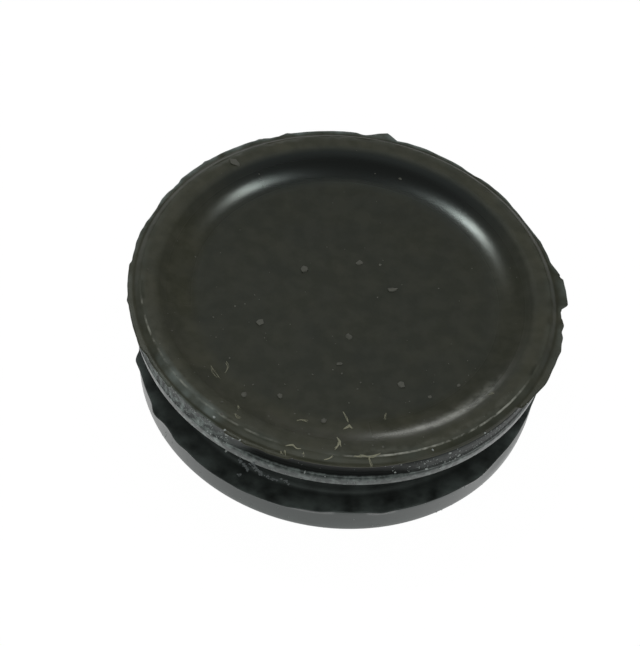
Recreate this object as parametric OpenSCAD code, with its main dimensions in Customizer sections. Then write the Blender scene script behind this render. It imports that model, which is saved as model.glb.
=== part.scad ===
// Push-in rubber bolt cover, moulded in one piece, standing on its open base.
// The axis is +Z, the base lies at zero height and the front is towards -Y.

/* [Panel fit] */
// Diameter of the neck, which fills the panel's hole
neck_d = 25; // [22:0.5:60]
// Height of the groove that takes the panel's edge
groove_h = 3.6; // [1.5:0.1:8]
// Radius of the fillets in the groove's two inner corners
groove_fillet_r = 0.4; // [0.2:0.05:0.6]

/* [Head] */
// Thickness of the head, from its underside to its rim
head_h = 2.85; // [2.3:0.05:6]
// How far the head's crest, its widest line, reaches past the neck
head_reach = 2.3; // [1.2:0.05:6]
// Depth of the crest below the rim
crest_drop = 0.45; // [0.3:0.05:0.7]
// How far the rim's outer edge lies inside the crest
rim_inset = 0.55; // [0.3:0.05:0.8]
// Height of the waist, the hollow line in the head's side, above the bead's widest line
waist_rise = 0.2; // [0.15:0.05:0.5]
// How far the waist lies inside the crest
waist_inset = 0.5; // [0.4:0.05:0.7]
// Height of the bead along the lower edge of the head's side
bead_h = 0.85; // [0.5:0.05:1.1]
// How far the bead's widest line lies inside the crest
bead_inset = 0.1; // [0:0.05:0.15]
// How far the bead's lower edge lies inside the crest
side_undercut = 0.2; // [0.15:0.05:0.5]
// Radius of the crest line
crest_edge_r = 0.1; // [0.05:0.05:0.2]
// Radius of the rim's outer edge
rim_edge_r = 0.25; // [0.1:0.05:0.35]
// Radius of the hollow along the waist
waist_fillet_r = 0.15; // [0.05:0.05:0.2]
// Radius of the bead's widest line
bead_edge_r = 0.3; // [0.1:0.05:0.35]
// Radius of the bead's lower edge
side_edge_r = 0.15; // [0.05:0.05:0.3]

/* [Recess in the top] */
// Width of the flat rim around the recess
rim_w = 0.75; // [0.5:0.05:2]
// Depth of the recess below the rim
recess_h = 0.95; // [0.6:0.05:1.4]
// Radius of the cove that rises from the recess floor
cove_r = 5.5; // [2:0.1:6.5]
// Radius of the roll from the flat rim down to the cove
rim_roll_r = 1.2; // [0.5:0.05:2]

/* [Lip] */
// Height of the lower lip
lip_h = 2.6; // [2:0.05:8]
// How far the lip's top edge reaches past the neck
lip_reach = 1.8; // [0.8:0.05:4]
// How far the lip's side draws in from its top edge to the base
lip_taper = 0.35; // [0.1:0.05:1]
// Radius of the edge around the base
base_edge_r = 0.5; // [0.1:0.05:0.8]

/* [Bolt pocket] */
// Diameter of the pocket that clears the bolt's head
pocket_d = 19; // [10:0.5:20]
// Thickness of the web between the recess floor and the pocket
web_t = 2; // [1.2:0.1:3]
// Radius of the fillet around the pocket's roof
roof_fillet_r = 1; // [0.4:0.1:1.4]
// Radius of the edge around the pocket's mouth
mouth_edge_r = 0.3; // [0.1:0.05:0.5]

/* [Moulding flash] */
// Thickness of the flash fins
flash_t = 0.2; // [0.1:0.05:0.3]
// How far the head's fin reaches past the crest
head_flash_w = 0.25; // [0.1:0.05:0.4]
// How far the lip's fin reaches past the lip's top edge
lip_flash_w = 0.1; // [0.05:0.05:0.3]
// How far the longest torn tab reaches past its fin
tab_reach = 0.55; // [0.2:0.05:0.7]

/* [Hidden] */
$fn = 180;

// How far a cut runs past the face that it opens
overrun = 1;

// Heights above the base
head_z = lip_h + groove_h;
total_h = head_z + head_h;
crest_z = total_h - crest_drop;
bead_z = head_z + bead_h;
waist_z = bead_z + waist_rise;
floor_z = total_h - recess_h;
pocket_h = floor_z - web_t;

// Radii from the axis
neck_r = neck_d / 2;
widest_r = neck_r + head_reach;
rim_r = widest_r - rim_inset;
waist_r = widest_r - waist_inset;
bead_r = widest_r - bead_inset;
side_low_r = widest_r - side_undercut;
lip_r = neck_r + lip_reach;
base_r = lip_r - lip_taper;
pocket_r = pocket_d / 2;

// The rim's roll and the cove are arcs that touch each other
roll_centre = [rim_r - rim_w, total_h - rim_roll_r];
recess_run = sqrt(pow(cove_r + rim_roll_r, 2) - pow(cove_r + rim_roll_r - recess_h, 2));
floor_r = roll_centre[0] - recess_run;
cove_centre = [floor_r, floor_z + cove_r];

// The fins start inside the rubber, this far behind the edge that they grow from
flash_root = rim_inset + flash_t;

// Lobes and tabs start this far inside a fin's edge, and tears this far outside it
edge_margin = flash_t / 4;

// Wide lobes of a fin: where each starts and ends, in degrees from +X, its share of tab_reach, and the share of
// its sweep that each of its sloping ends takes
head_lobe_shares = [
    [-33, -1.6, 0.22, 0.05],
    [6.3, 18, 0.88, 0.12],
    [70, 84, 0.2, 0.3],
    [92.6, 116, 0.2, 0.06],
    [118.4, 149.5, 0.25, 0.05],
    [152, 158.5, 0.13, 0.25],
    [168, 176, 0.1, 0.25],
    [180.4, 211.5, 0.2, 0.04],
];
lip_lobe_shares = [
    [231, 267, 0.2, 0.1],
];

// Torn tabs on a fin: where each starts, peaks and ends, in degrees from +X, and its share of tab_reach
head_tab_shares = [
    [-14, -8, -2.5, 0.42],
    [-1, 0.8, 2, 0.2],
    [14, 18, 22.5, 0.65],
    [82.5, 85.8, 91.5, 1],
    [111, 113.5, 115.5, 0.35],
    [119, 121.5, 125, 0.36],
    [135, 138.8, 142, 0.36],
    [190, 194, 197, 0.4],
    [205, 209, 212.5, 0.36],
];
lip_tab_shares = [
    [193, 195.6, 198.5, 0.3],
    [213, 215.2, 218, 0.45],
    [224, 227, 231, 0.2],
    [236, 239, 243, 0.3],
    [246, 250, 255, 0.3],
];

// Tears in a fin: where each starts and ends, in degrees from +X, its share of the fin's depth, where 1 takes
// all that shows, and the share of its sweep that each of its sloping ends takes
head_tear_shares = [
    [2.4, 6, 0.22, 0.2],
    [30, 47, 0.22, 0.2],
    [56.5, 63, 0.25, 0.3],
    [159, 166, 0.14, 0.2],
    [224, 244, 1, 0.06],
    [262, 330, 1, 0.018],
];
lip_tear_shares = [
    [200, 212, 0.7, 0.1],
    [219, 223, 0.7, 0.2],
    [274, 287, 0.8, 0.1],
    [291, 316, 0.5, 0.05],
];

function unit(v) = v / norm(v);

function polar(r, angle) = [r * cos(angle), r * sin(angle)];

// What a tangent arc takes off a convex corner, or fills in a hollow one, with its root inside the rubber
module corner_sliver(corner, before, after, r, hollow = false) {
    to_before = unit(before - corner);
    to_after = unit(after - corner);
    half_angle = acos(to_before * to_after) / 2;
    set_back = r / tan(half_angle);
    centre = corner + unit(to_before + to_after) * r / sin(half_angle);
    root = hollow ? corner * 2 - centre : corner;
    difference() {
        polygon([root, corner + to_before * set_back, centre, corner + to_after * set_back]);
        translate(centre) circle(r);
    }
}

// A convex outline with a radius for each corner, where 0 leaves it sharp
module rounded_outline(points, radii) {
    count = len(points);
    difference() {
        polygon(points);
        for (i = [0 : count - 1])
            if (radii[i] > 0)
                corner_sliver(points[i], points[(i + count - 1) % count], points[(i + 1) % count], radii[i]);
    }
}

module head_section() {
    crest = [widest_r, crest_z];
    waist = [waist_r, waist_z];
    bead = [bead_r, bead_z];
    rounded_outline(
        [[0, waist_z], waist, crest, [rim_r, total_h], [0, total_h]],
        [0, 0, crest_edge_r, rim_edge_r, 0]
    );
    rounded_outline(
        [[0, head_z], [side_low_r, head_z], bead, waist, [0, waist_z]],
        [0, side_edge_r, bead_edge_r, 0, 0]
    );
    corner_sliver(waist, crest, bead, waist_fillet_r, hollow = true);
}

module neck_section() {
    top_corner = [neck_r, head_z];
    low_corner = [neck_r, lip_h];
    translate([0, lip_h]) square([neck_r, groove_h]);
    corner_sliver(top_corner, low_corner, [side_low_r, head_z], groove_fillet_r, hollow = true);
    corner_sliver(low_corner, top_corner, [lip_r, lip_h], groove_fillet_r, hollow = true);
}

module lip_section() {
    rounded_outline([[0, 0], [base_r, 0], [lip_r, lip_h], [0, lip_h]], [0, base_edge_r, 0, 0]);
}

module recess_section() {
    above_rim = total_h + overrun;
    arcs_meet = roll_centre + unit(cove_centre - roll_centre) * rim_roll_r;
    translate([0, floor_z]) square([floor_r, recess_h + overrun]);
    translate(cove_centre) circle(cove_r);
    difference() {
        polygon([roll_centre, [roll_centre[0], above_rim], [floor_r, above_rim], arcs_meet]);
        translate(roll_centre) circle(rim_roll_r);
    }
}

module pocket_section() {
    rounded_outline(
        [[0, -overrun], [pocket_r, -overrun], [pocket_r, pocket_h], [0, pocket_h]],
        [0, 0, roof_fillet_r, 0]
    );
    corner_sliver([pocket_r, 0], [pocket_r, pocket_h], [base_r, 0], mouth_edge_r);
}

module body() {
    rotate_extrude()
        difference() {
            union() {
                head_section();
                neck_section();
                lip_section();
            }
            recess_section();
            pocket_section();
        }
}

// A lobe of a fin: a wedge with sloping ends, out to the lobe's circle
module lobe(root_r, edge_r, lobe_r, span) {
    far_r = 2 * edge_r;
    slope = span[3] * (span[1] - span[0]);
    intersection() {
        polygon([
            polar(root_r, span[0]),
            polar(edge_r - edge_margin, span[0]),
            polar(lobe_r + edge_margin, span[0] + slope),
            polar(far_r, span[0] + slope),
            polar(far_r, span[1] - slope),
            polar(lobe_r + edge_margin, span[1] - slope),
            polar(edge_r - edge_margin, span[1]),
            polar(root_r, span[1]),
        ]);
        circle(lobe_r);
    }
}

// What a tear takes off a fin: a wedge with sloping ends, down to the bite's circle
module tear_cut(edge_r, bite_r, tear) {
    far_r = 2 * edge_r;
    slope = tear[3] * (tear[1] - tear[0]);
    difference() {
        polygon([
            polar(far_r, tear[0]),
            polar(edge_r + edge_margin, tear[0]),
            polar(bite_r, tear[0] + slope),
            polar(bite_r, tear[1] - slope),
            polar(edge_r + edge_margin, tear[1]),
            polar(far_r, tear[1]),
        ]);
        circle(bite_r);
    }
}

// A thin ragged ring where the two halves of the mould met, around an edge of the rubber
module flash_fin(carrier_r, reach, lobe_shares, tab_shares, tear_shares) {
    edge_r = carrier_r + reach;
    root_r = carrier_r - flash_root;
    linear_extrude(flash_t)
        difference() {
            union() {
                circle(edge_r);
                for (span = lobe_shares)
                    lobe(root_r, edge_r, edge_r + span[2] * tab_reach, span);
                for (tab = tab_shares)
                    polygon([
                        polar(root_r, tab[0]),
                        polar(edge_r - edge_margin, tab[0]),
                        polar(edge_r + tab[3] * tab_reach, tab[1]),
                        polar(edge_r - edge_margin, tab[2]),
                        polar(root_r, tab[2]),
                    ]);
            }
            circle(root_r);
            for (tear = tear_shares)
                tear_cut(edge_r, edge_r - tear[2] * (reach + flash_t), tear);
        }
}

module bolt_cover() {
    color([0.17, 0.17, 0.15])
    union() {
        body();
        translate([0, 0, crest_z - flash_t / 2])
            flash_fin(widest_r, head_flash_w, head_lobe_shares, head_tab_shares, head_tear_shares);
        translate([0, 0, lip_h - flash_t])
            flash_fin(lip_r, lip_flash_w, lip_lobe_shares, lip_tab_shares, lip_tear_shares);
    }
}

bolt_cover();
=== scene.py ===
"""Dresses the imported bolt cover: a rubber skin with torn flash, its dust and lint, and a white studio."""

import math
import random

import bmesh
import bpy
import numpy as np
from mathutils import Matrix, Vector, noise
from mathutils.bvhtree import BVHTree


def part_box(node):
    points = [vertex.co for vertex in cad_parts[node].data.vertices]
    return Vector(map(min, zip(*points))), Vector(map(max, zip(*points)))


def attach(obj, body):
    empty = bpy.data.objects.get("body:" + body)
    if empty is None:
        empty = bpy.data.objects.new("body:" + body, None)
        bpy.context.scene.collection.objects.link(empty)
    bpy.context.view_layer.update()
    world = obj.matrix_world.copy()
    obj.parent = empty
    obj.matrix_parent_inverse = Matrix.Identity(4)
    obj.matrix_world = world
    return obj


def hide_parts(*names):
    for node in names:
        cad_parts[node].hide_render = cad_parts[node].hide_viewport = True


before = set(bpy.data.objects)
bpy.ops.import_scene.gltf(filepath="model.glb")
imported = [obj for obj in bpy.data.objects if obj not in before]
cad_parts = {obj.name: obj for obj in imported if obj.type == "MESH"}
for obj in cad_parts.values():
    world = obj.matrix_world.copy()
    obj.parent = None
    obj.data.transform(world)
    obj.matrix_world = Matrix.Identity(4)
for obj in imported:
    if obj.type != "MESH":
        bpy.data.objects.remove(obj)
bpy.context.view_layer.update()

# The section, in millimetres, as the solid has it
NECK_R = 12.5
GROOVE_H = 3.6
GROOVE_FILLET_R = 0.4
HEAD_H = 2.85
HEAD_REACH = 2.3
CREST_DROP = 0.45
RIM_INSET = 0.55
WAIST_RISE = 0.2
WAIST_INSET = 0.5
BEAD_H = 0.85
BEAD_INSET = 0.1
SIDE_UNDERCUT = 0.2
RIM_EDGE_R = 0.25
WAIST_FILLET_R = 0.15
BEAD_EDGE_R = 0.3
SIDE_EDGE_R = 0.15
RIM_W = 0.75
RECESS_H = 0.95
COVE_R = 5.5
RIM_ROLL_R = 1.2
LIP_H = 2.6
LIP_REACH = 1.8
LIP_TAPER = 0.35
BASE_EDGE_R = 0.5
POCKET_R = 9.5
WEB_T = 2.0
ROOF_FILLET_R = 1.0
MOUTH_EDGE_R = 0.3
HEAD_FLASH_W = 0.25
LIP_FLASH_W = 0.1
FLASH_T = 0.2
TAB_REACH = 0.55

# The arcs that the two fins of flash grow out of, and what a tear leaves of the head's fin, in millimetres
CREST_FIN_R = 0.14
LIP_FIN_R = 0.09
TORN_EDGE_MM = 0.08

# The steps of the turn that the lip's fin is worn over
LIP_WORN_STEPS = 7

HEAD_Z = LIP_H + GROOVE_H
TOTAL_H = HEAD_Z + HEAD_H
CREST_Z = TOTAL_H - CREST_DROP
BEAD_Z = HEAD_Z + BEAD_H
WAIST_Z = BEAD_Z + WAIST_RISE
FLOOR_Z = TOTAL_H - RECESS_H
ROOF_Z = FLOOR_Z - WEB_T
WIDEST_R = NECK_R + HEAD_REACH
RIM_R = WIDEST_R - RIM_INSET
ROLL_R = RIM_R - RIM_W
WAIST_R = WIDEST_R - WAIST_INSET
BEAD_R = WIDEST_R - BEAD_INSET
SIDE_FOOT_R = WIDEST_R - SIDE_UNDERCUT
LIP_R = NECK_R + LIP_REACH
BASE_R = LIP_R - LIP_TAPER

# One millimetre of the section in the frame's own units
CAD_LOW, CAD_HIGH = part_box("bolt_cover")
MM = (CAD_HIGH.z - CAD_LOW.z) / TOTAL_H

# How finely the skin is divided round the turn, and how much of their radius the recess's two arcs keep
TURN_STEPS = 680
ARC_SHARE = 0.97

# Wide lobes of a fin: start and end in degrees from +X, share of TAB_REACH, share of the lobe at each end
HEAD_LOBE_SHARES = [
    (-33, -1.6, 0.22, 0.05),
    (6.3, 18, 0.88, 0.12),
    (70, 84, 0.2, 0.3),
    (92.6, 116, 0.2, 0.06),
    (118.4, 149.5, 0.25, 0.05),
    (152, 158.5, 0.13, 0.25),
    (168, 176, 0.1, 0.25),
    (180.4, 211.5, 0.2, 0.04),
]
LIP_LOBE_SHARES = [
    (231, 267, 0.2, 0.1),
]

# Torn tabs on a fin: start, peak and end in degrees from +X, and a share of TAB_REACH
HEAD_TAB_SHARES = [
    (-14, -8, -2.5, 0.42),
    (-1, 0.8, 2, 0.2),
    (14, 18, 22.5, 0.65),
    (82.5, 85.8, 91.5, 1),
    (111, 113.5, 115.5, 0.35),
    (119, 121.5, 125, 0.36),
    (135, 138.8, 142, 0.36),
    (190, 194, 197, 0.4),
    (205, 209, 212.5, 0.36),
]
LIP_TAB_SHARES = [
    (193, 195.6, 198.5, 0.3),
    (213, 215.2, 218, 0.45),
    (224, 227, 231, 0.2),
    (236, 239, 243, 0.3),
    (246, 250, 255, 0.3),
]

# Tears in a fin: start and end in degrees from +X, share of the fin lost, share of the tear at each end
HEAD_TEAR_SHARES = [
    (2.4, 6, 0.22, 0.2),
    (30, 47, 0.22, 0.2),
    (56.5, 63, 0.25, 0.3),
    (159, 166, 0.14, 0.2),
    (224, 244, 1, 0.06),
    (262, 330, 1, 0.018),
]
LIP_TEAR_SHARES = [
    (200, 212, 0.7, 0.1),
    (219, 223, 0.7, 0.2),
    (274, 287, 0.8, 0.1),
    (291, 316, 0.5, 0.05),
]

# Waves round the turn: depth in millimetres, cycles and seed
HEAD_FIN_WAVES = [(0.035, 45, 1.5), (0.03, 150, 2.5)]
LIP_FIN_WAVES = [(0.03, 50, 3.5), (0.03, 150, 4.5)]
RIM_NICK_WAVES = [(0.05, 60, 6.5), (0.03, 170, 7.5)]
CREST_WARP_WAVES = [(0.06, 14, 5.5)]
LIP_WARP_WAVES = [(0.04, 25, 8.5)]

# How far the soft lip leans aside of the head, and the way that it leans, in degrees from +X
LIP_LEAN_MM = 0.12
LIP_LEAN_WAY = 350

# Stretches of the turn where the shape differs: start, full from, full to and end in degrees, and the most
FIN_GROWN_MM = [(334, 342, 362, 368, 0.12)]
FIN_RAGGED_MM = [(240, 248, 284, 292, 0.05)]
CREST_WORN_MM = [(282, 296, 330, 342, 0.12)]
WAIST_FILL_MM = [(188, 204, 242, 254, 0.5), (284, 300, 332, 350, 0.28)]
LIP_WORN_MM = [(166, 176, 191, 197, 0.3), (318, 330, 348, 360, 0.24)]
LIP_SAG_MM = [(270, 276, 284, 290, -0.1)]

# Stretches where the surface differs, as above, with the most as a share of a painted layer
# Scuffs and painted sheen: pale specks on the head's side and bead, laid on thick enough to also paint the
# side's reflected light
SIDE_SCUFF_AND_SHEEN = [(198, 216, 238, 248, 0.95), (288, 298, 330, 345, 0.1)]
BEAD_SCUFF_AND_SHEEN = [(236, 244, 284, 296, 0.45), (284, 300, 334, 348, 0.45)]
COVE_DUST = [(120, 165, 375, 420, 0.78), (155, 172, 300, 330, 0.2)]
COVE_DULL = [(185, 215, 272, 292, 0.8)]
# Painted highlight: a speckled pale band in the cove's upper part at the front right, widening the
# highlight there
COVE_PAINTED_HIGHLIGHT = [(288, 304, 325, 340, 0.3)]
# Wear and painted highlight: pale broken marks along the rim's edge, which also paint the light that the
# edge catches
EDGE_WEAR_AND_HIGHLIGHT = [(193, 198, 224, 232, 0.6), (230, 236, 250, 262, 0.4), (268, 288, 326, 340, 1.0)]
# Painted sheen: the rim's edge and the fin's tips painted paler towards the outline, as a grazing
# reflection makes them, over the back, the front and the head's left side
EDGE_PAINTED_SHEEN = [(-40, -15, 200, 230, 0.12), (195, 235, 320, 345, 0.17), (208, 217, 236, 246, 0.55)]
FIN_PAINTED_SHEEN = [(-30, 5, 180, 215, 0.6), (18, 32, 150, 180, 0.8), (208, 217, 236, 246, 0.8)]
SHOULDER_MATT = [(-10, 25, 160, 185, 0.3)]
WALL_MATT = [(246, 254, 290, 302, 0.4), (288, 304, 332, 345, 0.2)]

# What the painted layers hold elsewhere, from 0 to 1
FLOOR_DUST = 0.6
FLOOR_DULL, FIN_DULL, CLEAN_DULL = 0.75, 0.6, 0.3
FLOOR_SHEEN, NECK_SHEEN, BEAD_SHEEN, LIP_SHEEN, PLAIN_SHEEN = 0.36, 0.45, 0.57, 0.6, 0.5
# Painted light: the shaded groove is made paler from the neck out to the lip's edge, and the lip's side
# paler towards its foot
NECK_PAINTED_LIGHT, LIP_TOP_PAINTED_LIGHT, LIP_FOOT_PAINTED_LIGHT = 0.16, 0.66, 0.3
LIP_PAINTED_LIGHT_Z = 0.6 * LIP_H
# Wear and painted highlight on the row just before the rim's edge
RIM_WEAR_AND_HIGHLIGHT = 0.1

# Ramps across the recess's two arcs: shares of the arc, and the value at each
COVE_CLEARED_RAMP = [0.05, 0.36], [0, 1]
ROLL_CLEARED_RAMP = [0, 0.9], [1, 0]
COVE_DULL_RAMP = [0, 0.3, 0.8, 1], [FLOOR_DULL, 0, 0, 0.8]
COVE_SHEEN_RAMP = [0, 0.3], [FLOOR_SHEEN, PLAIN_SHEEN]
# The cove's painted highlight lies in the upper part of its arc
COVE_HIGHLIGHT_RAMP = [0.55, 0.75, 0.95, 1], [0, 1, 1, 0]

# How much of the crest's arc is still top, and how much of an arc goes with the face before it
CREST_TOP_SHARE = 0.75
ARC_START_SHARE = 0.4

# The rubber's colours in linear light, and the tints of its sheen
CLEAN_RUBBER = (0.0118, 0.013, 0.012)
DARK_OLIVE, LIGHT_OLIVE = (0.0315, 0.033, 0.0155), (0.05, 0.0505, 0.03)
# Painted light and painted sheen: a pale colour laid on where the rubber lies in shade or catches grazing
# light
PAINTED_LIGHT = (0.19, 0.229, 0.212)
# Scuffs and painted sheen: a pale blue-grey for the side's specks, which also paints its reflected sheen
SCUFF_AND_PAINTED_SHEEN = (0.345, 0.405, 0.38)
# Wear and painted highlight: a pale colour for the worn rim's edge, and for highlights painted on it and in
# the cove
WEAR_AND_HIGHLIGHT = (0.42, 0.43, 0.37)
CLEAN_TINT, DUSTY_TINT = (0.86, 1, 0.95), (0.985, 1, 0.89)

# Noise that breaks the layers up: cycles to the metre, detail, and the levels that become 0 and 1
DUST_NOISE = (420, 6, -0.6, 0.75)
OLIVE_NOISE = (900, 8, 0.39, 0.61)
PAINTED_LIGHT_NOISE = (700, 5, 0.3, 0.7)
SCUFF_AND_SHEEN_NOISE = (2200, 5, 0.44, 0.72)
WEAR_AND_HIGHLIGHT_NOISE = (1500, 6, 0.4, 0.62)
RELIEF_NOISE = (1500, 4, 0.2, 0.8)

# Roughness of shiny and of dull rubber, and the fine relief: its depth, the dullness that it starts at, and
# its strength where the rubber is dullest
SHINY_ROUGH, DULL_ROUGH = 0.2, 0.55
RELIEF_MM = 0.06
RELIEF_START, RELIEF_STRENGTH = 0.5, 0.24

# The dirt's colours in linear light, and its surface
GREY_DUST = (0.14, 0.143, 0.122)
PALE_DUST = (0.45, 0.49, 0.47)
SMEARED_DUST = (0.19, 0.21, 0.21)
LINT = (0.4, 0.4, 0.29)
DIRT_ROUGH, DIRT_SHEEN = 0.9, 0.1

# The camera, from the photograph: sizes in its pixels, angles in degrees
IMAGE_W, IMAGE_H = 640, 646
HEAD_CENTRE_PX = (346.83, 289.43)
HEAD_RADIUS_PX = 217.17
HEAD_RADIUS_MM = 15.0
CAMERA_ELEVATION = 50.15
CAMERA_ROLL = 9.02
CAMERA_HEAD_RADII = 14
SENSOR_W = 36
FOCAL_PX = HEAD_RADIUS_PX * CAMERA_HEAD_RADII

# Flakes of dust, by the photograph's pixels: x, y and size in millimetres
FLAKES_PX = [
    (304, 269, 0.62),
    (359, 263, 0.65),
    (380, 265, 0.2),
    (392, 290, 0.62),
    (260, 322, 0.53),
    (348.5, 337, 0.53),
    (340, 364, 0.45),
    (401, 384.5, 0.58),
    (430, 397, 0.28),
    (458.5, 385.5, 0.25),
    (244, 394.5, 0.53),
    (280, 396, 0.38),
    (324, 421, 0.43),
    (253, 384.5, 0.2),
    (222, 402, 0.24),
    (210, 401, 0.2),
    (222, 414, 0.22),
    (303, 455, 0.22),
    (378, 439, 0.26),
    (383, 447, 0.22),
    (309, 434, 0.2),
    (235, 163, 0.75),
    (400, 179, 0.22),
]

# Pale crumbs on the head's side and in the groove, as above
CRUMBS_PX = [
    (225, 430, 0.21),
    (227, 435, 0.27),
    (233, 438, 0.24),
    (240, 440, 0.18),
    (214, 417, 0.21),
    (195, 412, 0.19),
    (433, 450, 0.18),
    (450, 453, 0.29),
    (459, 455, 0.26),
    (497, 428, 0.24),
    (485, 433, 0.19),
    (419, 467, 0.18),
    (426, 469, 0.24),
    (226.5, 451, 0.24),
    (305, 472, 0.21),
    (427, 469.5, 0.22),
    (440, 468, 0.18),
]

# Smears of dust in the groove, as above: the two ends of each, the size of its crumbs and how many it holds
SMEARS_PX = [
    (239, 459, 248, 470, 0.22, 22),
    (252, 463, 256, 468, 0.24, 12),
    (255, 467, 262, 474, 0.26, 20),
    (239, 475, 241, 476, 0.24, 5),
    (266, 476, 275, 480, 0.18, 14),
    (281, 480, 288, 482, 0.18, 10),
]
SMEAR_SPREAD_PX = 0.9
SMEAR_SIZES = (0.5, 1)

# Tufts of lint, by the photograph's pixels that each runs through, and its thickness in millimetres
TUFTS_PX = [
    ([(343, 412), (345.5, 417), (348, 422)], 0.07),
    ([(344, 428.5), (348, 427.5), (349.5, 426), (352, 428.5)], 0.16),
    ([(337.5, 438), (339, 442), (340.5, 446)], 0.14),
    ([(339, 442), (338, 446), (335, 449)], 0.12),
    ([(286, 445.5), (292, 445), (296, 448), (300, 448.5)], 0.15),
    ([(297, 420.5), (302, 420), (307.5, 421)], 0.08),
    ([(324, 459.5), (328, 458.5), (333, 456)], 0.13),
    ([(354, 457), (359, 457), (363, 455.5), (368, 457)], 0.13),
    ([(368, 457), (374, 456.5), (380, 453.5)], 0.13),
    ([(369, 457.5), (370, 462), (371.5, 467)], 0.09),
    ([(237.5, 405.5), (238.5, 409.5)], 0.08),
    ([(235, 413), (236, 417), (241, 418)], 0.06),
    ([(211, 366), (214, 372), (218, 378)], 0.045),
    ([(226, 362), (228, 367), (225, 373)], 0.04),
    ([(281, 451.5), (281.5, 455)], 0.09),
    ([(285.5, 451), (285, 455)], 0.1),
    ([(303, 452.5), (303.5, 457)], 0.12),
    ([(386, 413), (385, 419)], 0.06),
    ([(489, 395), (494, 393.5)], 0.06),
]
STRANDS = 4
STRAND_SPREAD_PX = 0.65
STRAND_SHARE = 0.28

# Fine dust by chance: stretch of the turn in degrees, span of radius or height, how many, span of sizes
TOP_DUST = [
    (0, 360, 0.5, RIM_R, 50, 0.05, 0.12),
    (185, 345, 6, RIM_R, 70, 0.05, 0.15),
]
SIDE_DUST = [
    (212, 245, BEAD_Z, CREST_Z, 150, 0.04, 0.14),
    (243, 290, HEAD_Z, CREST_Z, 20, 0.05, 0.1),
    (288, 338, BEAD_Z, CREST_Z, 110, 0.04, 0.14),
    (0, 360, 0.1, LIP_H, 110, 0.05, 0.13),
]
DUST_SEED = 5

# A flake's half length as a share of its size, and its width, height and raggedness as shares of that
FLAKE_HALF = 0.6
FLAKE_WIDTHS = (0.5, 0.9)
FLAKE_HEIGHTS = (0.3, 0.6)
FLAKE_RAGGED = (-0.35, 0.25)

# A hair's sides and its steps from spot to spot, how high it lies in radii, and its tips' width and taper
HAIR_SIDES = 6
HAIR_STEPS = 6
HAIR_LIFT = 0.7
HAIR_TIP = 0.4
HAIR_TAPER = 4

# The floor: half its width in metres, its grey to the lamps, its white to the camera and that white's share
FLOOR_HALF_W = 3.0
FLOOR_GREY = (0.8, 0.8, 0.8)
FLOOR_WHITE = 1.03
FLOOR_WHITE_SHARE = 0.96

# Lamps, aimed at the origin: azimuth and elevation in degrees, distance and two sizes in metres, and power
LAMPS = {
    "right_lamp": (50, 64.6, 0.5, 0.1, 0.04, 0.2),
    "left_lamp": (124.5, 64, 0.5, 0.095, 0.035, 0.29),
    "low_panel": (105, 8, 0.6, 0.23, 0.15, 0.2),
    "front_lamp": (265, 42, 0.6, 1.2, 0.3, 1.2),
}

# The studio's glow, brightest behind the part and below the top: the spans of the direction's Z and Y that
# it grows over, and its levels
GLOW_BELOW_TOP = (math.sin(math.radians(78)), math.sin(math.radians(50)))
GLOW_BEHIND = (-0.2, 0.3)
DIM_GLOW, BRIGHT_GLOW = 0.09, 0.27


def rounded(corners):
    """Rows along a run of corners, with an arc at each but the two ends.

    A corner is (name, r, z, arc radius, steps of the arc, steps of the run to it).
    A row is (name of its corner, empty on a run, share of the arc, r, z).
    """
    rows = [(corners[0][0], 0, *corners[0][1:3])]
    for i in range(1, len(corners)):
        name, r, z, radius, arc_steps, run_steps = corners[i]
        corner = np.array((r, z), float)
        arc = [(name, 0, r, z)]
        if i < len(corners) - 1:
            before = np.array(corners[i - 1][1:3], float) - corner
            after = np.array(corners[i + 1][1:3], float) - corner
            before /= np.linalg.norm(before)
            after /= np.linalg.norm(after)
            half = math.acos(before @ after) / 2
            centre = corner + (before + after) / np.linalg.norm(before + after) * radius / math.sin(half)
            start = corner + before * radius / math.tan(half) - centre
            end = corner + after * radius / math.tan(half) - centre
            sweep = math.atan2(start[0] * end[1] - start[1] * end[0], start @ end)
            arc = []
            for k in range(arc_steps + 1):
                turn = sweep * k / arc_steps
                arc_r = centre[0] + start[0] * math.cos(turn) - start[1] * math.sin(turn)
                arc_z = centre[1] + start[0] * math.sin(turn) + start[1] * math.cos(turn)
                arc.append((name, k / arc_steps, arc_r, arc_z))
        last_r, last_z = rows[-1][2:]
        for k in range(1, run_steps):
            share = k / run_steps
            run_r = last_r + (arc[0][2] - last_r) * share
            run_z = last_z + (arc[0][3] - last_z) * share
            rows.append(("", 0, run_r, run_z))
        rows += arc
    return rows


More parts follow.
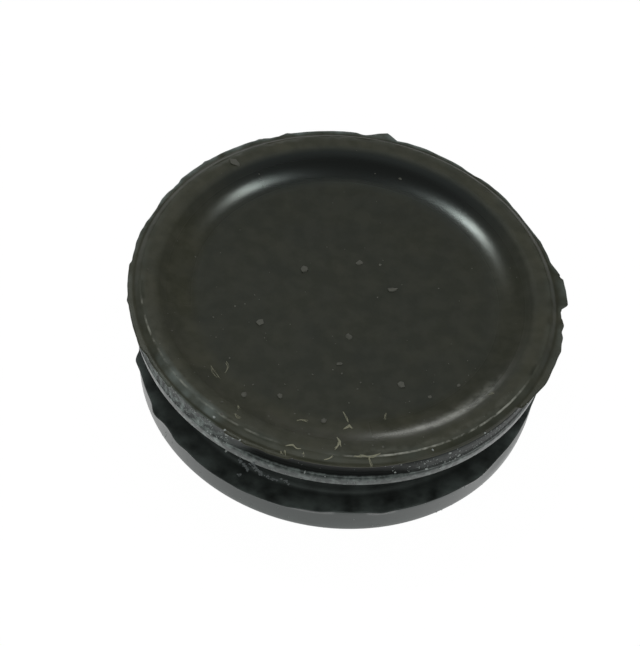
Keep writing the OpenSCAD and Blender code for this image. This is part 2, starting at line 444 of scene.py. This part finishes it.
def section():
    """The section's rows from the recess's middle, over the rim and down the side, to the pocket's roof."""
    slope = math.acos(1 - RECESS_H / (COVE_R + RIM_ROLL_R))
    floor_r = ROLL_R - (COVE_R + RIM_ROLL_R) * math.sin(slope)
    cove_corner = floor_r + COVE_R * math.tan(slope / 2)
    roll_corner = ROLL_R - RIM_ROLL_R * math.tan(slope / 2)
    return rounded([
        ("floor", 0, FLOOR_Z, 0, 0, 0),
        ("cove", cove_corner, FLOOR_Z, COVE_R * ARC_SHARE, 12, 8),
        ("roll", roll_corner, TOTAL_H, RIM_ROLL_R * ARC_SHARE, 8, 1),
        ("rim_edge", RIM_R, TOTAL_H, RIM_EDGE_R, 6, 2),
        ("crest", WIDEST_R, CREST_Z, CREST_FIN_R, 10, 3),
        ("waist", WAIST_R, WAIST_Z, WAIST_FILLET_R, 6, 2),
        ("bead", BEAD_R, BEAD_Z, BEAD_EDGE_R, 7, 2),
        ("side_foot", SIDE_FOOT_R, HEAD_Z, SIDE_EDGE_R, 6, 2),
        ("neck_top", NECK_R, HEAD_Z, GROOVE_FILLET_R, 5, 3),
        ("neck_foot", NECK_R, LIP_H, GROOVE_FILLET_R, 5, 4),
        ("lip_edge", LIP_R, LIP_H, LIP_FIN_R, 9, 3),
        ("base_edge", BASE_R, 0, BASE_EDGE_R, 6, 6),
        ("mouth", POCKET_R, 0, MOUTH_EDGE_R, 4, 4),
        ("roof", POCKET_R, ROOF_Z, ROOF_FILLET_R, 5, 4),
        ("middle", 0, ROOF_Z, 0, 0, 7),
    ])


def fin_reach(angles, reach, lobes, tabs, tears):
    """How far a fin stands out at each angle, in millimetres."""
    tab = np.zeros(len(angles))
    for start, end, share, end_share in lobes:
        turn = (angles - start) % 360 / (end - start)
        height = np.interp(turn, [0, end_share, 1 - end_share, 1], [0, share, share, 0], right=0)
        tab = np.maximum(tab, height * TAB_REACH)
    for start, peak, end, share in tabs:
        turn = (angles - start) % 360
        height = np.interp(turn, [0, peak - start, end - start], [0, share, 0], right=0)
        tab = np.maximum(tab, height * TAB_REACH)
    out = reach + tab
    for start, end, share, end_share in tears:
        turn = (angles - start) % 360 / (end - start)
        depth = np.interp(turn, [0, end_share, 1 - end_share, 1], [0, share, share, 0], right=0)
        out -= depth * (reach + FLASH_T)
    return out


def stretches(angles, table):
    """The value of a table of stretches at each angle, with smooth ends."""
    out = np.zeros(len(angles))
    for start, full_from, full_to, end, most in table:
        turn = (angles - start) % 360
        rise = np.interp(turn, [0, full_from - start, full_to - start, end - start], [0, 1, 1, 0], right=0)
        out += most * rise * rise * (3 - 2 * rise)
    return out


def wave(angles, cycles, seed):
    """Smooth noise from -1 to 1 that closes on itself round the turn."""
    radius = cycles / (2 * math.pi)
    turn = np.radians(angles)
    return np.array([noise.noise((radius * math.cos(a), radius * math.sin(a), seed)) for a in turn])


def waves(angles, table):
    """The sum of a table of waves at each angle."""
    return sum(depth * wave(angles, cycles, seed) for depth, cycles, seed in table)


def bulge(corner, share, name):
    """The weight of each row in a corner's arc: 1 at the arc's middle and 0 at its ends."""
    return np.where(corner == name, 1 - np.abs(2 * share - 1) ** 3, 0)


def skin_shape(corner, share, r, z, angles):
    """Grids of radii and heights, a row to each angle: the section with its flash, wear and lean."""

    def along(values):
        """Values by angle as a column against the section's rows."""
        return values[:, None]

    # Weights of each row in the fins, the rim's edge, the waist, the lip's upper edge and the whole lip
    head_fin = bulge(corner, share, "crest")
    lip_fin = bulge(corner, share, "lip_edge")
    edge = bulge(corner, share, "rim_edge")
    groove_r = NECK_R + GROOVE_FILLET_R
    on_side = (z > HEAD_Z - SIDE_EDGE_R) & (r > groove_r) & (z < CREST_Z)
    waist = np.where(on_side, np.interp(z, [BEAD_Z, WAIST_Z, CREST_Z], [0, 1, 0]), 0)
    on_lip = (z > LIP_H / 2) & (z < LIP_H + GROOVE_FILLET_R) & (r > groove_r)
    lip = np.where(on_lip, np.interp(r, [groove_r, LIP_R - LIP_FIN_R], [0, 1]), 0)
    lip = lip * np.interp(z, [LIP_H / 2, LIP_H], [0, 1])
    before_mouth = np.arange(len(corner)) < np.argmax(corner == "mouth")
    low = np.where(before_mouth, np.interp(z, [LIP_H, HEAD_Z], [1, 0]), 0)

    head_reach = fin_reach(angles, HEAD_FLASH_W, HEAD_LOBE_SHARES, HEAD_TAB_SHARES, HEAD_TEAR_SHARES)
    head_reach += waves(angles, HEAD_FIN_WAVES) + stretches(angles, FIN_GROWN_MM)
    head_reach += stretches(angles, FIN_RAGGED_MM) * wave(angles, *HEAD_FIN_WAVES[-1][1:])
    head_out = np.maximum(head_reach, TORN_EDGE_MM) - stretches(angles, CREST_WORN_MM)
    lip_reach = fin_reach(angles, LIP_FLASH_W, LIP_LOBE_SHARES, LIP_TAB_SHARES, LIP_TEAR_SHARES)
    lip_reach = np.maximum(lip_reach + waves(angles, LIP_FIN_WAVES), 0)
    worn = np.ones(LIP_WORN_STEPS) / LIP_WORN_STEPS
    lip_out = np.convolve(np.pad(lip_reach, LIP_WORN_STEPS // 2, "wrap"), worn, "valid")
    nick = np.maximum(0, waves(angles, RIM_NICK_WAVES))
    lean = LIP_LEAN_MM * np.cos(np.radians(angles - LIP_LEAN_WAY))

    radii = r + head_fin * along(head_out) + lip_fin * along(lip_out) - edge * along(nick)
    radii = radii + waist * along(stretches(angles, WAIST_FILL_MM)) + low * along(lean)
    radii = radii - lip * along(stretches(angles, LIP_WORN_MM))
    heights = z - head_fin * along(waves(angles, CREST_WARP_WAVES)) - edge * along(nick)
    heights = heights - lip * along(stretches(angles, LIP_SAG_MM) + waves(angles, LIP_WARP_WAVES))
    return radii, heights


def skin_paint(corner, share, r, z, angles):
    """The painted layers as grids, a row to each angle: dust, dullness, sheen, painted light, scuffs with
    painted sheen, and wear with painted highlights.
    """
    order = np.arange(len(corner))
    first = {name: np.argmax(corner == name) for name in corner if name}

    def along(table):
        """A table of stretches as a column against the section's rows."""
        return stretches(angles, table)[:, None]

    def between(start, end):
        """The rows from one corner's first to another's."""
        return (order >= first[start]) & (order < first[end])

    on_floor, in_cove, on_roll = order < first["cove"], corner == "cove", corner == "roll"
    on_crest, on_run = corner == "crest", corner == ""
    on_top = (order < first["crest"]) | on_crest & (share < CREST_TOP_SHARE)
    on_edge = between("rim_edge", "crest")
    on_shoulder = on_edge & (on_run | (share >= 0.5)) | on_crest & (share < ARC_START_SHARE)
    on_wall = between("crest", "bead")
    on_bead = between("bead", "neck_top")
    in_groove = between("neck_top", "lip_edge") | (corner == "lip_edge") & (share < ARC_START_SHARE)
    on_neck = in_groove & (r < NECK_R + GROOVE_FILLET_R)
    on_lip_side = between("lip_edge", "mouth")

    # Dust lies on the head, and thins out to its own level in the cove
    dust = np.where(order < first["roll"], FLOOR_DUST, on_top)
    cleared = [np.interp(share, *COVE_CLEARED_RAMP), np.interp(share, *ROLL_CLEARED_RAMP)]
    cleared = np.select([in_cove, on_roll], cleared, 0)

    dull_rows = [on_floor, in_cove, on_crest | on_edge & on_run, on_roll | on_top | on_wall | in_groove]
    dull = np.select(dull_rows, [FLOOR_DULL, np.interp(share, *COVE_DULL_RAMP), FIN_DULL, 1], CLEAN_DULL)

    sheen_rows = [on_floor, in_cove, on_neck, on_bead, on_lip_side]
    cove_sheen = np.interp(share, *COVE_SHEEN_RAMP)
    sheen = np.select(sheen_rows, [FLOOR_SHEEN, cove_sheen, NECK_SHEEN, BEAD_SHEEN, LIP_SHEEN], PLAIN_SHEEN)

    # Painted light: a pale colour lights the shaded groove, more towards the lip's edge, and the lip's side
    # towards its foot
    groove_painted_light = np.interp(r, [NECK_R + GROOVE_FILLET_R, LIP_R], [NECK_PAINTED_LIGHT, LIP_TOP_PAINTED_LIGHT])
    lip_painted_light = np.interp(z, [0, LIP_PAINTED_LIGHT_Z], [LIP_FOOT_PAINTED_LIGHT, 0])
    painted_light = np.select([in_groove, on_lip_side], [groove_painted_light, lip_painted_light], 0)
    head_fin = bulge(corner, share, "crest")

    # Wear and painted highlight along the rim's edge, and a painted highlight in the cove's upper part
    by_edge = np.where(order == first["rim_edge"] - 1, RIM_WEAR_AND_HIGHLIGHT, bulge(corner, share, "rim_edge"))
    cove_highlight = np.where(in_cove, np.interp(share, *COVE_HIGHLIGHT_RAMP), 0)
    # Scuffs and painted sheen on the side's wall and bead
    scuffed_and_sheened = on_bead | on_wall & ~on_crest
    return {
        "dust": dust + cleared * (along(COVE_DUST) - dust),
        "dull": np.maximum(dull, in_cove * along(COVE_DULL)),
        "sheen": sheen - (on_wall & ~on_top) * along(WALL_MATT) - on_shoulder * along(SHOULDER_MATT),
        "painted_light": painted_light + head_fin * along(FIN_PAINTED_SHEEN) + on_edge * along(EDGE_PAINTED_SHEEN),
        "scuff_and_painted_sheen": scuffed_and_sheened * along(SIDE_SCUFF_AND_SHEEN) + on_bead * along(BEAD_SCUFF_AND_SHEEN),
        "wear_and_highlight": by_edge * along(EDGE_WEAR_AND_HIGHLIGHT) + cove_highlight * along(COVE_PAINTED_HIGHLIGHT),
    }


def lathe(name, radii, heights, angles, paint):
    """A closed skin from grids with a row to each angle, whose end columns lie on the axis."""
    turn = np.radians(angles)[:, None]
    x = radii * np.cos(turn)
    y = radii * np.sin(turn)
    inner = np.stack([x, y, heights], axis=2)[:, 1:-1]
    steps, columns = inner.shape[:2]
    points = list(inner.reshape(-1, 3) * MM)
    points.append(np.array([0, 0, heights[:, 0].mean()]) * MM)
    points.append(np.array([0, 0, heights[:, -1].mean()]) * MM)
    top, bottom = len(points) - 2, len(points) - 1
    faces = []
    for i in range(steps):
        here, there = i * columns, (i + 1) % steps * columns
        faces.append((top, here, there))
        faces += [(here + j, here + j + 1, there + j + 1, there + j) for j in range(columns - 1)]
        faces.append((bottom, there + columns - 1, here + columns - 1))
    mesh = bpy.data.meshes.new(name)
    mesh.from_pydata([tuple(p) for p in points], [], faces)
    mesh.update()
    mesh.shade_smooth()
    for layer, grid in paint.items():
        values = np.append(grid[:, 1:-1].ravel(), (grid[:, 0].mean(), grid[:, -1].mean()))
        mesh.attributes.new(layer, "FLOAT", "POINT").data.foreach_set("value", values)
    piece = bpy.data.objects.new(name, mesh)
    bpy.context.scene.collection.objects.link(piece)
    return piece


def rubber_skin():
    corner, share, r, z = (np.array(column) for column in zip(*section()))
    angles = np.arange(TURN_STEPS) * 360 / TURN_STEPS
    radii, heights = skin_shape(corner, share, r, z, angles)
    return lathe("rubber_cover", radii, heights, angles, skin_paint(corner, share, r, z, angles))


def feed(tree, node, inputs):
    """Sets a node's inputs, each to a number, a colour or another node's socket, and gives its outputs."""
    for name, value in inputs.items():
        if isinstance(value, bpy.types.NodeSocket):
            tree.links.new(value, node.inputs[name])
        elif isinstance(value, tuple):
            node.inputs[name].default_value = (*value, 1)
        else:
            node.inputs[name].default_value = value
    return node.outputs


def put(tree, kind, inputs):
    """Adds a shader node with its inputs, and gives its outputs."""
    return feed(tree, tree.nodes.new(kind), inputs)


def combined(tree, operation, one, other):
    """Two values put together by a mathematical operation."""
    node = tree.nodes.new("ShaderNodeMath")
    node.operation = operation
    return feed(tree, node, {0: one, 1: other})[0]


def grown(tree, value, start, full):
    """A smooth growth, from 0 where a value is at the start to 1 where it is at the full."""
    node = tree.nodes.new("ShaderNodeMapRange")
    node.interpolation_type = "SMOOTHSTEP"
    return feed(tree, node, {"Value": value, "From Min": start, "From Max": full})["Result"]


def noise_field(tree, coords, cycles, detail, low, high):
    """Noise through the object, stretched so that low becomes 0 and high becomes 1."""
    field = put(tree, "ShaderNodeTexNoise", {"Vector": coords, "Scale": cycles, "Detail": detail})["Fac"]
    return put(tree, "ShaderNodeMapRange", {"Value": field, "From Min": low, "From Max": high})["Result"]


def painted(tree, layer):
    """A painted layer of the skin."""
    node = tree.nodes.new("ShaderNodeAttribute")
    node.attribute_name = layer
    return node.outputs["Fac"]


def coated(tree, under, over, share):
    """A colour laid over another by a share."""
    node = tree.nodes.new("ShaderNodeMix")
    node.data_type = "RGBA"
    return feed(tree, node, {"Factor": share, "A": under, "B": over})["Result"]


def new_material(name):
    material = bpy.data.materials.new(name)
    material.use_nodes = True
    return material, material.node_tree


def rubber_material():
    material, tree = new_material("moulded_rubber")
    coords = put(tree, "ShaderNodeTexCoord", {})["Object"]

    def broken(layer, field):
        """A painted layer, broken up by noise."""
        return combined(tree, "MULTIPLY", painted(tree, layer), noise_field(tree, coords, *field))

    dust = broken("dust", DUST_NOISE)
    olive = coated(tree, DARK_OLIVE, LIGHT_OLIVE, noise_field(tree, coords, *OLIVE_NOISE))
    colour = coated(tree, CLEAN_RUBBER, olive, dust)
    # Painted light, scuffs with painted sheen, and wear with painted highlights, laid over the dusty rubber
    colour = coated(tree, colour, PAINTED_LIGHT, broken("painted_light", PAINTED_LIGHT_NOISE))
    colour = coated(tree, colour, SCUFF_AND_PAINTED_SHEEN, broken("scuff_and_painted_sheen", SCUFF_AND_SHEEN_NOISE))
    colour = coated(tree, colour, WEAR_AND_HIGHLIGHT, broken("wear_and_highlight", WEAR_AND_HIGHLIGHT_NOISE))
    dull = painted(tree, "dull")
    rough = {"Value": dull, "To Min": SHINY_ROUGH, "To Max": DULL_ROUGH}
    relief = {"Value": dull, "From Min": RELIEF_START, "To Max": RELIEF_STRENGTH}
    bump = put(tree, "ShaderNodeBump", {
        "Strength": put(tree, "ShaderNodeMapRange", relief)["Result"],
        "Distance": RELIEF_MM * MM,
        "Height": noise_field(tree, coords, *RELIEF_NOISE),
    })
    feed(tree, tree.nodes["Principled BSDF"], {
        "Base Color": colour,
        "Specular Tint": coated(tree, CLEAN_TINT, DUSTY_TINT, dust),
        "Specular IOR Level": painted(tree, "sheen"),
        "Roughness": put(tree, "ShaderNodeMapRange", rough)["Result"],
        "Normal": bump["Normal"],
    })
    return material


def dirt_material(name, colour):
    material, tree = new_material(name)
    surface = {"Base Color": colour, "Roughness": DIRT_ROUGH, "Specular IOR Level": DIRT_SHEEN}
    feed(tree, tree.nodes["Principled BSDF"], surface)
    return material


def skin_tree(piece):
    """The skin as a tree that rays can be cast at."""
    points = [v.co.copy() for v in piece.data.vertices]
    return BVHTree.FromPolygons(points, [tuple(p.vertices) for p in piece.data.polygons])


def seen_spot(tree, eye, pixel):
    """The point and normal of the skin behind a pixel of the photograph."""
    ray = Vector((pixel[0] - IMAGE_W / 2, IMAGE_H / 2 - pixel[1], -FOCAL_PX))
    return tree.ray_cast(eye.location, (eye.matrix_world.to_3x3() @ ray).normalized())[:2]


def top_spot(tree, angle, radius):
    """The point and normal of the skin straight below a place over the head."""
    above = Vector((radius * math.cos(angle), radius * math.sin(angle), 2 * TOTAL_H)) * MM
    return tree.ray_cast(above, Vector((0, 0, -1)))[:2]


def side_spot(tree, angle, height):
    """The point and normal of the skin level with a place beside it."""
    out = Vector((math.cos(angle), math.sin(angle), 0))
    return tree.ray_cast((out * 2 * WIDEST_R + Vector((0, 0, height))) * MM, -out)[:2]


def strayed(draw, pixel, spread):
    """A pixel moved a little by chance."""
    return [draw.gauss(place, spread) for place in pixel]


def add_flake(cloud, spot, size, draw):
    """Adds one uneven flake to a bmesh, bedded in the skin at a spot."""
    point, normal = spot
    spin = Matrix.Rotation(draw.uniform(0, 2 * math.pi), 4, "Z")
    half = size * MM * FLAKE_HALF
    wide = half * draw.uniform(*FLAKE_WIDTHS)
    high = half * draw.uniform(*FLAKE_HEIGHTS)
    shape = Matrix.Diagonal((half, wide, high, 1))
    upright = normal.to_track_quat("Z", "Y").to_matrix().to_4x4()
    place = Matrix.Translation(point) @ upright @ spin @ shape
    made = bmesh.ops.create_icosphere(cloud, subdivisions=1, radius=1, matrix=place)
    for vert in made["verts"]:
        vert.co += (vert.co - point) * draw.uniform(*FLAKE_RAGGED)


def curve_point(a, b, c, d, t):
    """The point at share t from b to c on a smooth curve through four points."""
    square = a - b * 2.5 + c * 2 - d / 2
    cube = b * 1.5 - a / 2 - c * 1.5 + d / 2
    return b + (c - a) * t / 2 + square * t * t + cube * t ** 3


def add_hair(cloud, spots, thickness):
    """Adds one hair to a bmesh: a tapering tube that lies on the skin along its spots."""
    radius = thickness * MM / 2
    laid = [(point + normal * radius * HAIR_LIFT, normal) for point, normal in spots]
    laid = [laid[0], *laid, laid[-1]]
    path = []
    for i in range(1, len(laid) - 2):
        around = [laid[i + k][0] for k in (-1, 0, 1, 2)]
        for k in range(HAIR_STEPS + (i == len(laid) - 3)):
            t = k / HAIR_STEPS
            path.append((curve_point(*around, t), laid[i][1].lerp(laid[i + 1][1], t)))
    turns = [2 * math.pi * k / HAIR_SIDES for k in range(HAIR_SIDES)]
    rings = []
    for i, (point, normal) in enumerate(path):
        ahead = path[min(i + 1, len(path) - 1)][0] - path[max(i - 1, 0)][0]
        across = ahead.cross(normal).normalized()
        upright = across.cross(ahead).normalized()
        from_end = min(i, len(path) - 1 - i) / len(path)
        wide = radius * min(1, HAIR_TIP + HAIR_TAPER * from_end)
        spokes = [across * math.cos(t) + upright * math.sin(t) for t in turns]
        rings.append([cloud.verts.new(point + spoke * wide) for spoke in spokes])
    for here, there in zip(rings, rings[1:]):
        for k in range(HAIR_SIDES):
            cloud.faces.new((here[k], here[k - 1], there[k - 1], there[k]))
    cloud.faces.new(rings[0])
    cloud.faces.new(rings[-1][::-1])


def cloud_piece(name, cloud, material):
    """A piece that rides on the cover, from a bmesh."""
    bmesh.ops.recalc_face_normals(cloud, faces=cloud.faces)
    mesh = bpy.data.meshes.new(name)
    cloud.to_mesh(mesh)
    cloud.free()
    mesh.materials.append(material)
    piece = bpy.data.objects.new(name, mesh)
    bpy.context.scene.collection.objects.link(piece)
    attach(piece, "root")


def dirt(cover, eye):
    """The dust, crumbs, smears and lint on the cover."""
    tree = skin_tree(cover)
    draw = random.Random(DUST_SEED)
    flakes = bmesh.new()
    for x, y, size in FLAKES_PX:
        add_flake(flakes, seen_spot(tree, eye, (x, y)), size, draw)
    for start, end, low, high, count, smallest, largest in TOP_DUST:
        for _ in range(count):
            angle = math.radians(draw.uniform(start, end))
            radius = math.sqrt(draw.uniform(low ** 2, high ** 2))
            add_flake(flakes, top_spot(tree, angle, radius), draw.uniform(smallest, largest), draw)
    cloud_piece("dust_flakes", flakes, dirt_material("grey_dust", GREY_DUST))

    crumbs, smears = bmesh.new(), bmesh.new()
    for x, y, size in CRUMBS_PX:
        add_flake(crumbs, seen_spot(tree, eye, (x, y)), size, draw)
    for x0, y0, x1, y1, size, count in SMEARS_PX:
        for k in range(count):
            t = k / (count - 1)
            stray = strayed(draw, (x0 + (x1 - x0) * t, y0 + (y1 - y0) * t), SMEAR_SPREAD_PX)
            add_flake(smears, seen_spot(tree, eye, stray), size * draw.uniform(*SMEAR_SIZES), draw)
    for start, end, low, high, count, smallest, largest in SIDE_DUST:
        for _ in range(count):
            angle = math.radians(draw.uniform(start, end))
            spot = side_spot(tree, angle, draw.uniform(low, high))
            add_flake(crumbs, spot, draw.uniform(smallest, largest), draw)
    cloud_piece("pale_crumbs", crumbs, dirt_material("pale_dust", PALE_DUST))
    cloud_piece("smears", smears, dirt_material("smeared_dust", SMEARED_DUST))

    hairs = bmesh.new()
    for pixels, thickness in TUFTS_PX:
        for _ in range(STRANDS):
            strays = [strayed(draw, pixel, STRAND_SPREAD_PX) for pixel in pixels]
            add_hair(hairs, [seen_spot(tree, eye, stray) for stray in strays], thickness * STRAND_SHARE)
    cloud_piece("lint", hairs, dirt_material("lint", LINT))


def camera():
    """The photograph's camera, aimed so that the head's centre falls on its pixel."""
    head_r = HEAD_RADIUS_MM * MM
    target = Vector((0, 0, CAD_HIGH.z))
    tilt = math.radians(CAMERA_ELEVATION)
    roll = math.radians(CAMERA_ROLL)
    back = Vector((0, -math.cos(tilt), math.sin(tilt)))
    up = Vector((0, math.sin(tilt), math.cos(tilt)))
    right = Vector((1, 0, 0))
    across = right * math.cos(roll) + up * math.sin(roll)
    upright = up * math.cos(roll) - right * math.sin(roll)
    level = Matrix((across, upright, back)).transposed()
    seen_at = Vector((HEAD_CENTRE_PX[0] - IMAGE_W / 2, IMAGE_H / 2 - HEAD_CENTRE_PX[1], -FOCAL_PX))
    aim = seen_at.rotation_difference(Vector((0, 0, -1))).to_matrix()
    data = bpy.data.cameras.new("camera")
    data.sensor_fit = "HORIZONTAL"
    data.sensor_width = SENSOR_W
    data.lens = FOCAL_PX * SENSOR_W / IMAGE_W
    data.clip_start = head_r
    piece = bpy.data.objects.new("camera", data)
    place = Matrix.Translation(target + back * CAMERA_HEAD_RADII * head_r)
    piece.matrix_world = place @ (level @ aim).to_4x4()
    bpy.context.scene.collection.objects.link(piece)
    bpy.context.scene.camera = piece
    return piece


def floor():
    """A white table: plain grey to the lamps, and nearly plain white to the camera and in reflections."""
    w = FLOOR_HALF_W
    mesh = bpy.data.meshes.new("floor")
    mesh.from_pydata([(-w, -w, 0), (w, -w, 0), (w, w, 0), (-w, w, 0)], [], [(0, 1, 2, 3)])
    piece = bpy.data.objects.new("floor", mesh)
    bpy.context.scene.collection.objects.link(piece)
    material, tree = new_material("white_table")
    tree.nodes.clear()
    path = put(tree, "ShaderNodeLightPath", {})
    mirrored = combined(tree, "MAXIMUM", path["Is Glossy Ray"], path["Is Transmission Ray"])
    seen = combined(tree, "MAXIMUM", path["Is Camera Ray"], mirrored)
    mix = put(tree, "ShaderNodeMixShader", {
        "Fac": combined(tree, "MULTIPLY", seen, FLOOR_WHITE_SHARE),
        1: put(tree, "ShaderNodeBsdfDiffuse", {"Color": FLOOR_GREY})[0],
        2: put(tree, "ShaderNodeEmission", {"Strength": FLOOR_WHITE})[0],
    })
    put(tree, "ShaderNodeOutputMaterial", {"Surface": mix[0]})
    mesh.materials.append(material)


def lamp(name, azimuth, elevation, distance, wide, high, power):
    """A soft elliptical lamp that looks at the origin."""
    turn, tilt = math.radians(azimuth), math.radians(elevation)
    away = Vector((math.cos(turn) * math.cos(tilt), math.sin(turn) * math.cos(tilt), math.sin(tilt)))
    data = bpy.data.lights.new(name, "AREA")
    data.shape = "ELLIPSE"
    data.size = wide
    data.size_y = high
    data.energy = power
    piece = bpy.data.objects.new(name, data)
    piece.location = away * distance
    piece.rotation_euler = away.to_track_quat("Z", "Y").to_euler()
    bpy.context.scene.collection.objects.link(piece)


def studio():
    """The lamps, and a world that glows behind the part and is white to the camera."""
    for name, placing in LAMPS.items():
        lamp(name, *placing)
    world = bpy.data.worlds.new("studio")
    world.use_nodes = True
    tree = world.node_tree
    way = put(tree, "ShaderNodeSeparateXYZ", {0: put(tree, "ShaderNodeTexCoord", {})["Generated"]})
    below_top = grown(tree, way["Z"], *GLOW_BELOW_TOP)
    behind = grown(tree, way["Y"], *GLOW_BEHIND)
    both = combined(tree, "MULTIPLY", below_top, behind)
    glow = put(tree, "ShaderNodeMapRange", {"Value": both, "To Min": DIM_GLOW, "To Max": BRIGHT_GLOW})
    seen = put(tree, "ShaderNodeLightPath", {})["Is Camera Ray"]
    level = combined(tree, "MAXIMUM", glow["Result"], seen)
    feed(tree, tree.nodes["Background"], {"Color": (1, 1, 1), "Strength": level})
    bpy.context.scene.world = world


eye = camera()
cover = rubber_skin()
cover.data.materials.append(rubber_material())
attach(cover, "root")
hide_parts("bolt_cover")
dirt(cover, eye)
floor()
studio()

bpy.context.scene.view_settings.view_transform = "Standard"
